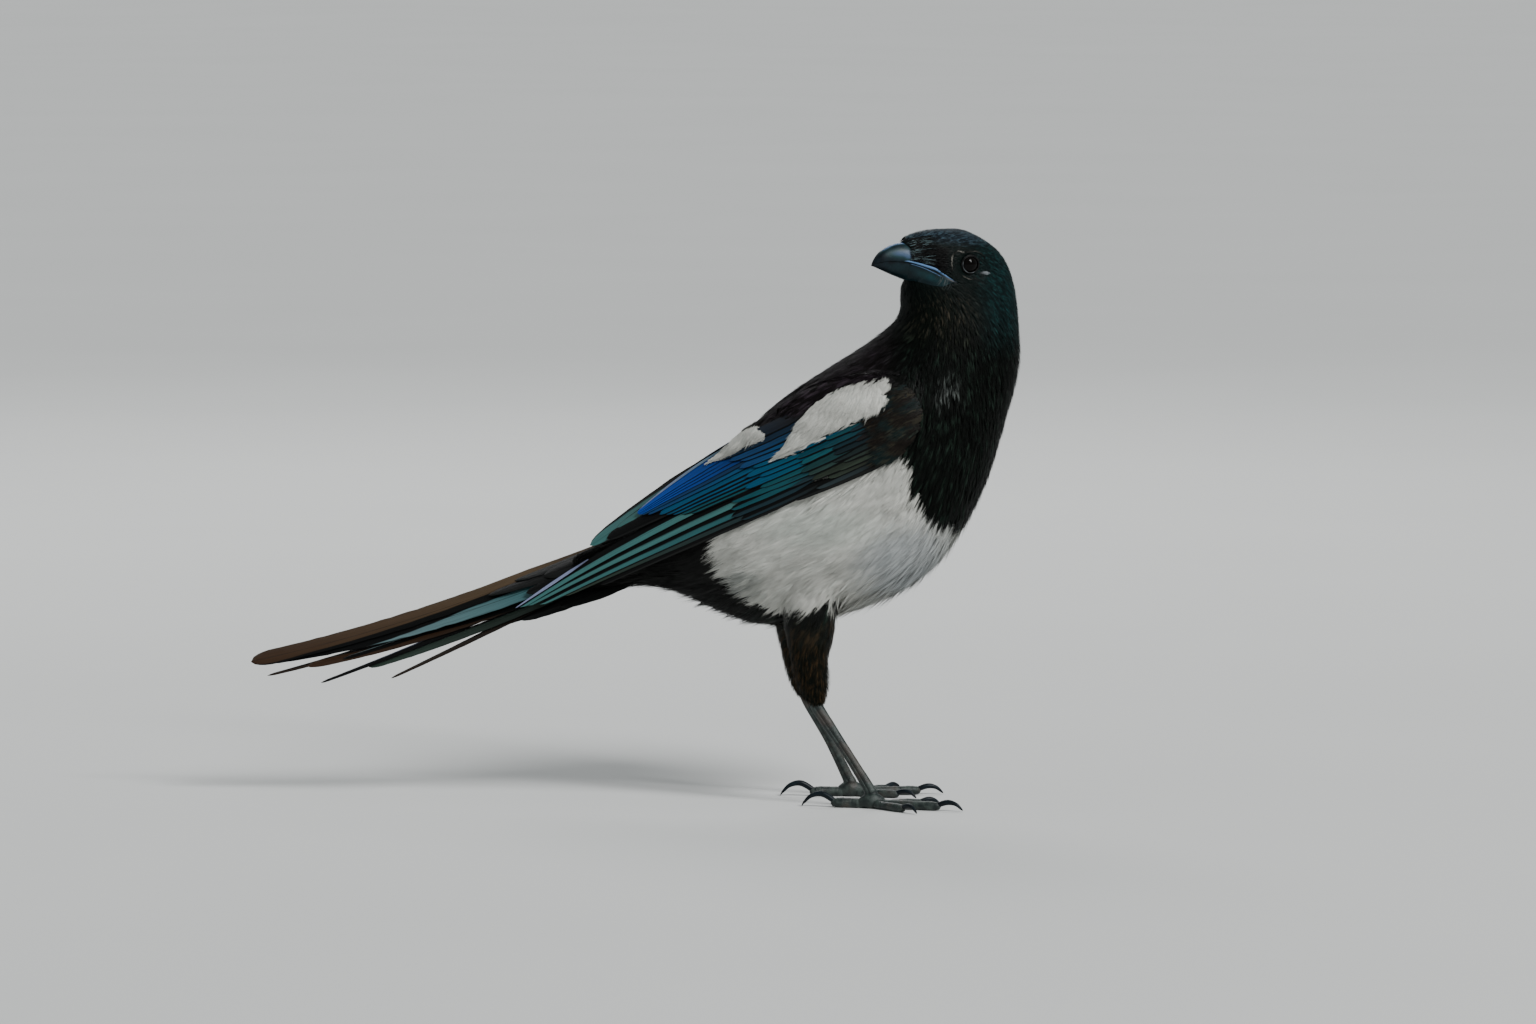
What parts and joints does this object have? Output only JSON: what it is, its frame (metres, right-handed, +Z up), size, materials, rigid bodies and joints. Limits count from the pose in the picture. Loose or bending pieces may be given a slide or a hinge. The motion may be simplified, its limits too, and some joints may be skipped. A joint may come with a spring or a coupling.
{
  "type": "eurasian magpie",
  "caption": "Life-size still model of a black-and-white magpie with long tail, standing on both feet with its head turned back over its right shoulder.",
  "frame": {"origin": "centre of the bounding box on the floor, under the bird", "axes": "+Z up; +X towards the breast, with the long tail towards -X; the bird's right side faces -Y; the head is turned back over the right shoulder, so the bill points to -X and -Y"},
  "size_m": [0.3628, 0.0922, 0.2681],
  "materials": {
    "black_plumage": "soft black body feathers with a faint green and violet sheen",
    "white_plumage": "soft matt white body feathers",
    "wing_feathers": "black flight feathers and coverts with a blue and teal gloss",
    "tail_feathers": "long black tail feathers with a green and bronze gloss",
    "horn": "smooth blue-black horn",
    "leg_scales": "dark grey scaled skin",
    "eye": "wet very dark brown"
  },
  "bodies": {
    "root": {"head": "black_plumage", "neck": "black_plumage", "breast": "black_plumage", "back": "black_plumage", "rump": "black_plumage", "belly": "white_plumage", "tail": "tail_feathers", "bill_upper": "horn", "bill_lower": "horn", "eye_right": "eye", "scapulars_right": "white_plumage", "wing_right": "wing_feathers", "thigh_right": "black_plumage", "tarsus_right": "leg_scales", "foot_right": "leg_scales", "claw_right_hind": "horn", "claw_right_inner": "horn", "claw_right_middle": "horn", "claw_right_outer": "horn", "eye_left": "eye", "scapulars_left": "white_plumage", "wing_left": "wing_feathers", "thigh_left": "black_plumage", "tarsus_left": "leg_scales", "foot_left": "leg_scales", "claw_left_hind": "horn", "claw_left_inner": "horn", "claw_left_middle": "horn", "claw_left_outer": "horn"}
  },
  "joints": []
}
